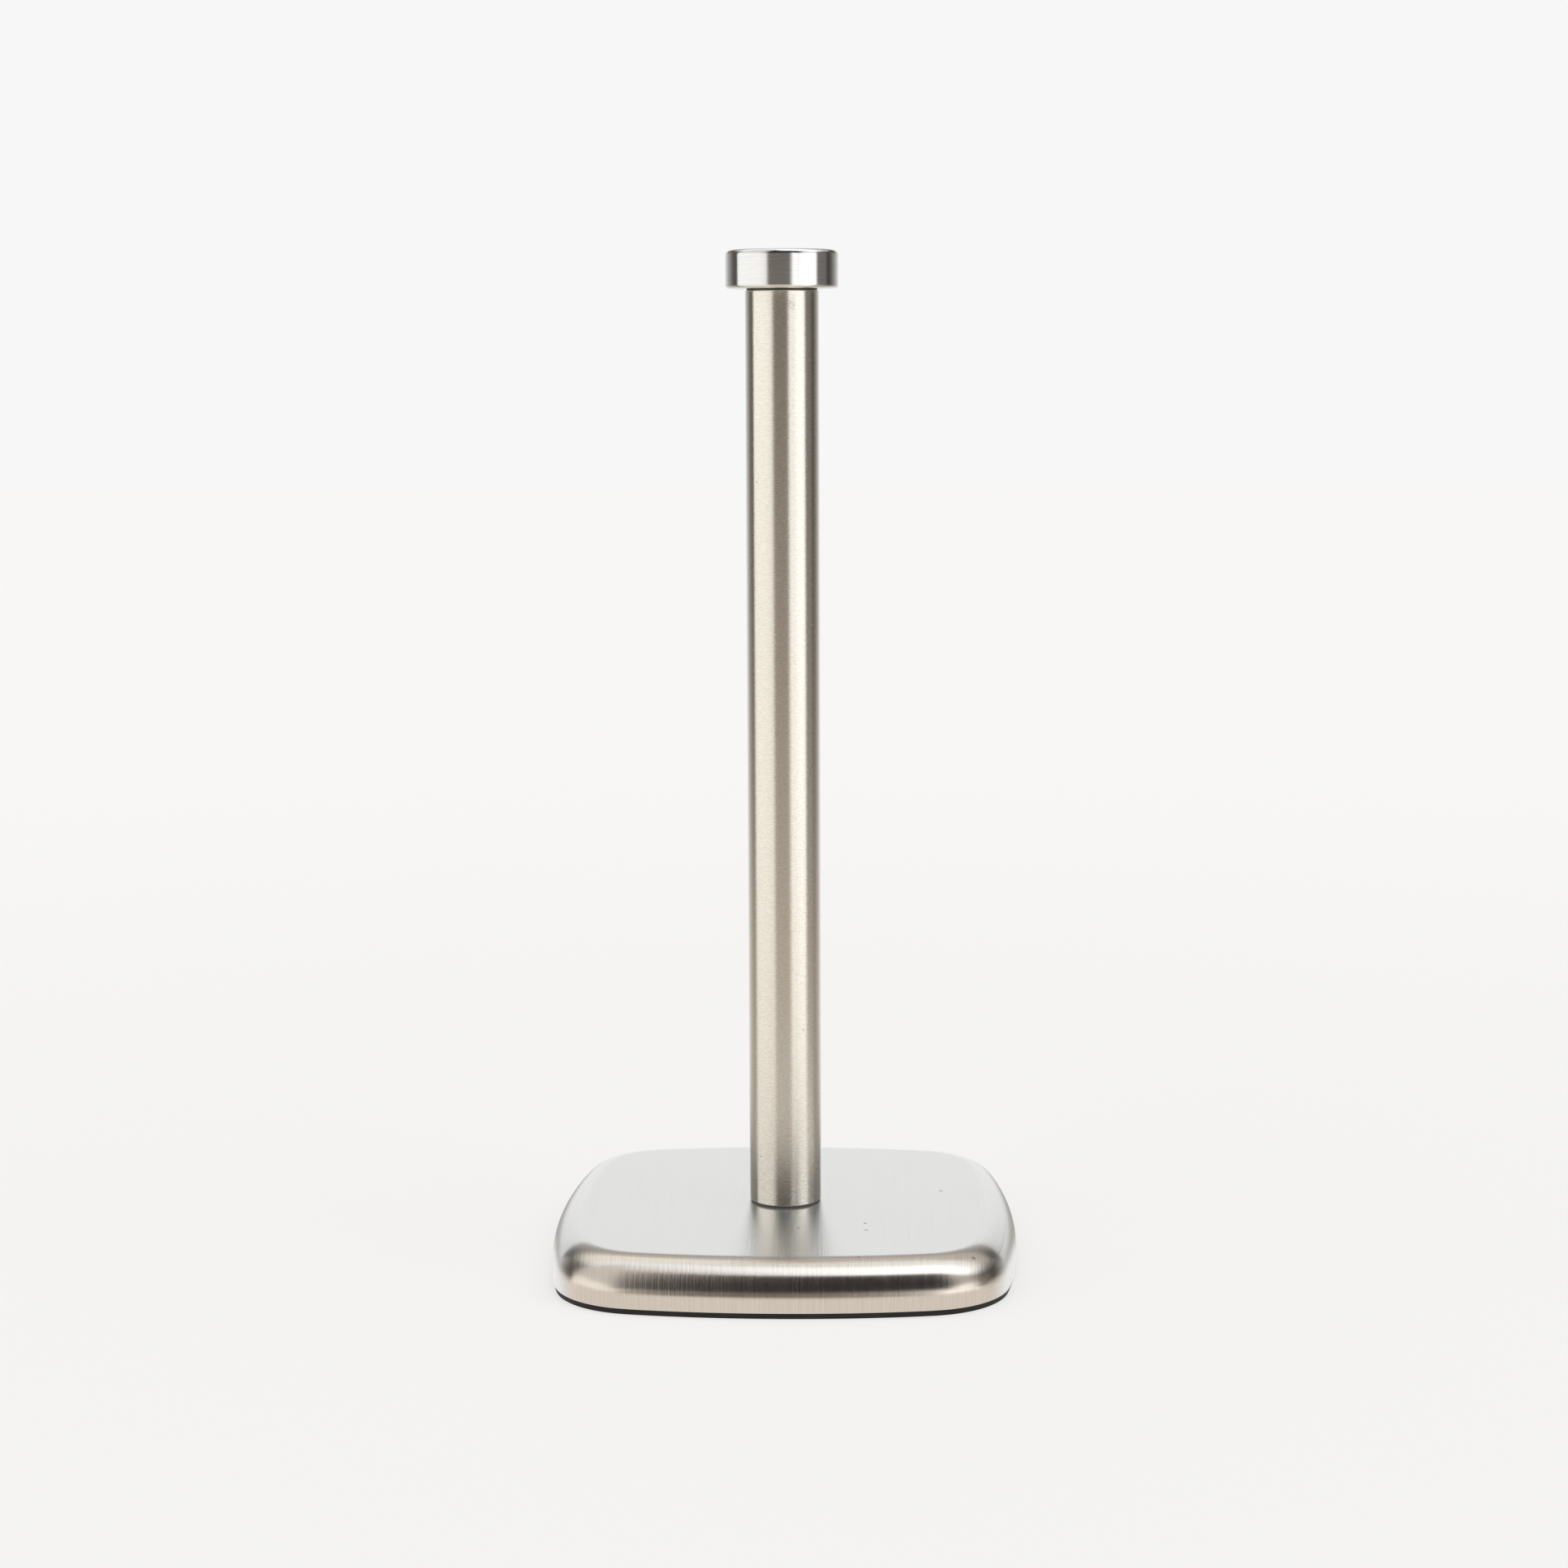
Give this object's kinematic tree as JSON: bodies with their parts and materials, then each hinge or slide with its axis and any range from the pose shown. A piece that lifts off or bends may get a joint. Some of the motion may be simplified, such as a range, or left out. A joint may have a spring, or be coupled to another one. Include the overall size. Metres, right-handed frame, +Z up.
{
  "type": "paper towel holder",
  "caption": "Freestanding paper towel holder: low square base with bowed sides and a soft rounded edge, a straight upright round pole in the middle and a short flat round cap on top.",
  "frame": {"origin": "on the floor under the middle of the base, on the pole's axis", "axes": "+Z up along the pole; +X and +Y square to the four sides of the base, the front side facing -Y"},
  "size_m": [0.1614, 0.1614, 0.3464],
  "materials": {
    "rubber_pad": "matt moulded rubber",
    "shell_steel": "satin brushed stainless sheet",
    "plate_steel": "mill finish zinc-plated sheet",
    "weight_iron": "as cast, dark primed",
    "zinc_hardware": "zinc-plated hardware",
    "washer_nylon": "black nylon",
    "tube_steel": "satin brushed stainless tube",
    "plug_steel": "turned plain steel",
    "cap_steel": "turned and brushed stainless"
  },
  "bodies": {
    "base": {"base_shell": "shell_steel", "weight_block": "weight_iron", "bottom_plate": "plate_steel", "plate_screws": "zinc_hardware", "base_pad": "rubber_pad", "pole_bolt": "zinc_hardware", "bolt_lock_washer": "zinc_hardware"},
    "foot_washer": {"foot_washer": "washer_nylon"},
    "pole": {"pole_tube": "tube_steel", "foot_plug": "plug_steel", "top_plug": "plug_steel"},
    "cap_washer": {"cap_washer": "washer_nylon"},
    "cap": {"cap_knob": "cap_steel", "cap_stud": "zinc_hardware"}
  },
  "joints": [
    {"name": "pole_lift", "type": "slide", "parent": "base", "child": "foot_washer", "axis": [0, 0, 1], "range_m": [0, 0.0155]},
    {"name": "pole_turn", "type": "hinge", "parent": "foot_washer", "child": "pole", "pos_m": [0, 0, 0.0184], "axis": [0, 0, 1], "range_deg": [0, 4465]},
    {"name": "cap_lift", "type": "slide", "parent": "pole", "child": "cap_washer", "axis": [0, 0, 1], "range_m": [0, 0.0105]},
    {"name": "cap_turn", "type": "hinge", "parent": "cap_washer", "child": "cap", "pos_m": [0, 0, 0.3335], "axis": [0, 0, 1], "range_deg": [0, 3781]}
  ],
  "couplings": [
    {"joint": "pole_turn", "follows": "pole_lift", "rad_per_m": 5026.5},
    {"joint": "cap_turn", "follows": "cap_lift", "rad_per_m": 6283.2}
  ]
}
